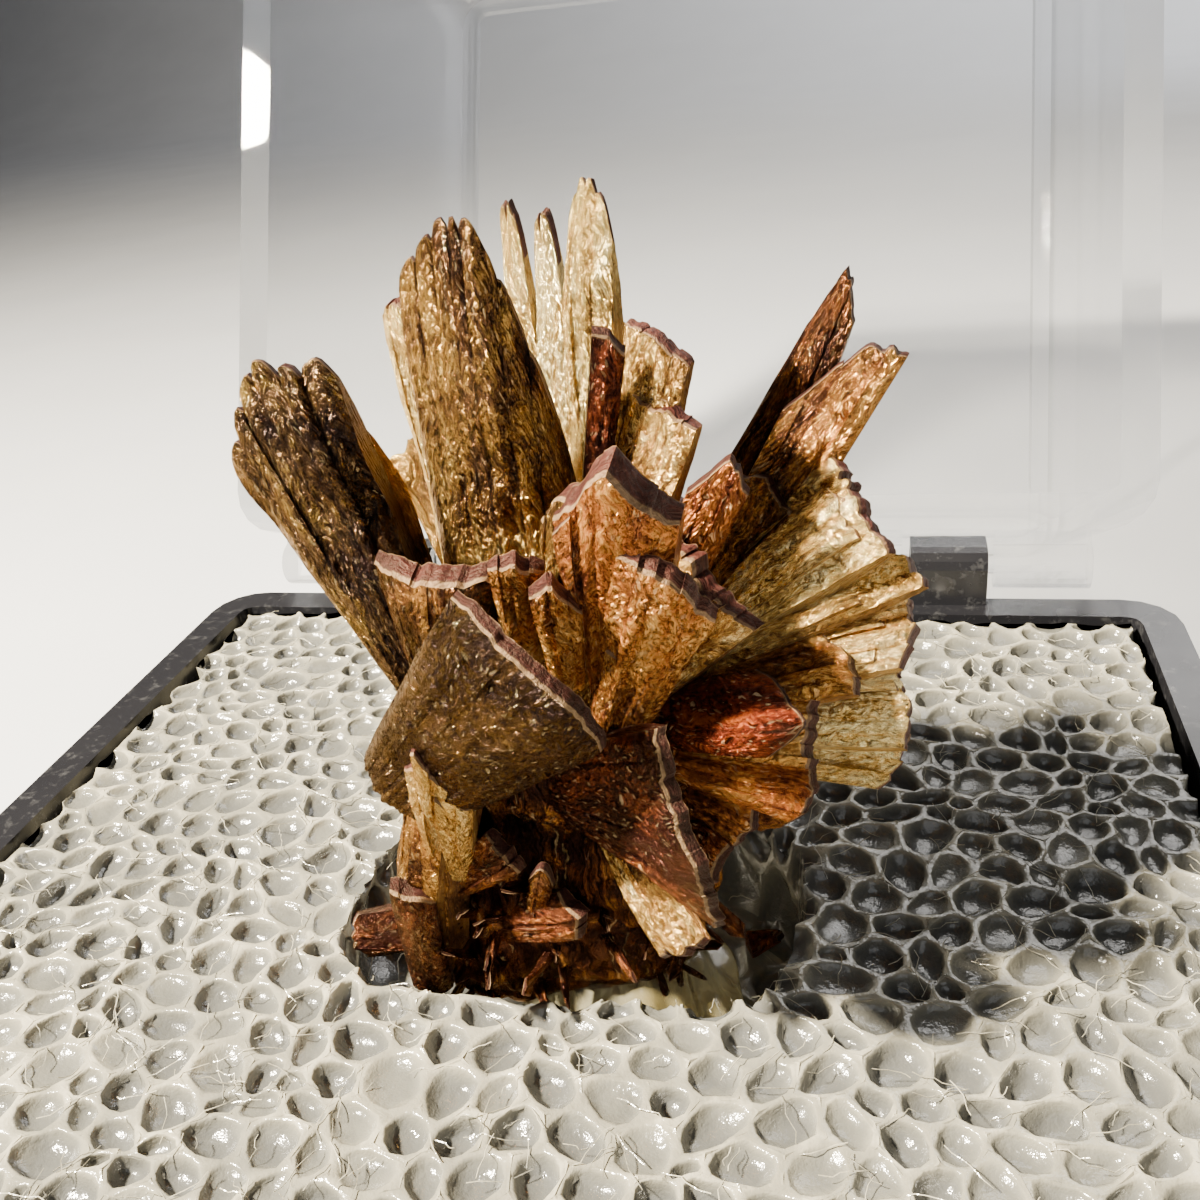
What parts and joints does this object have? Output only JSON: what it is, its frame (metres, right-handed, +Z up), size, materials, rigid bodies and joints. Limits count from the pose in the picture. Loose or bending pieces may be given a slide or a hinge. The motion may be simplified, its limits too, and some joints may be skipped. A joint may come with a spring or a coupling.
{
  "type": "goethite specimen in a thumbnail box",
  "caption": "Spray of fibrous bronze-brown goethite blades standing in the foam pad of a small square black box with a clear hinged lid.",
  "frame": {"origin": "middle of the tray's underside", "axes": "+Z up, hinge of the lid at +Y, +X to the right seen from the front"},
  "size_m": [0.0318, 0.0668, 0.0377],
  "materials": {
    "black_plastic": "gloss",
    "clear_plastic": "polished",
    "foam": "satin",
    "glue": "gloss",
    "goethite": "satin"
  },
  "bodies": {
    "box": {"base": "black_plastic", "foam_pad": "foam", "glue": "glue", "goethite_cluster": "goethite", "loose_chip": "goethite"},
    "lid": {"lid": "clear_plastic"}
  },
  "joints": [
    {"name": "lid_hinge", "type": "hinge", "parent": "box", "child": "lid", "pos_m": [0, 0.0164, 0.00945], "axis": [-1, 0, 0], "range_deg": [-118, 64]}
  ]
}
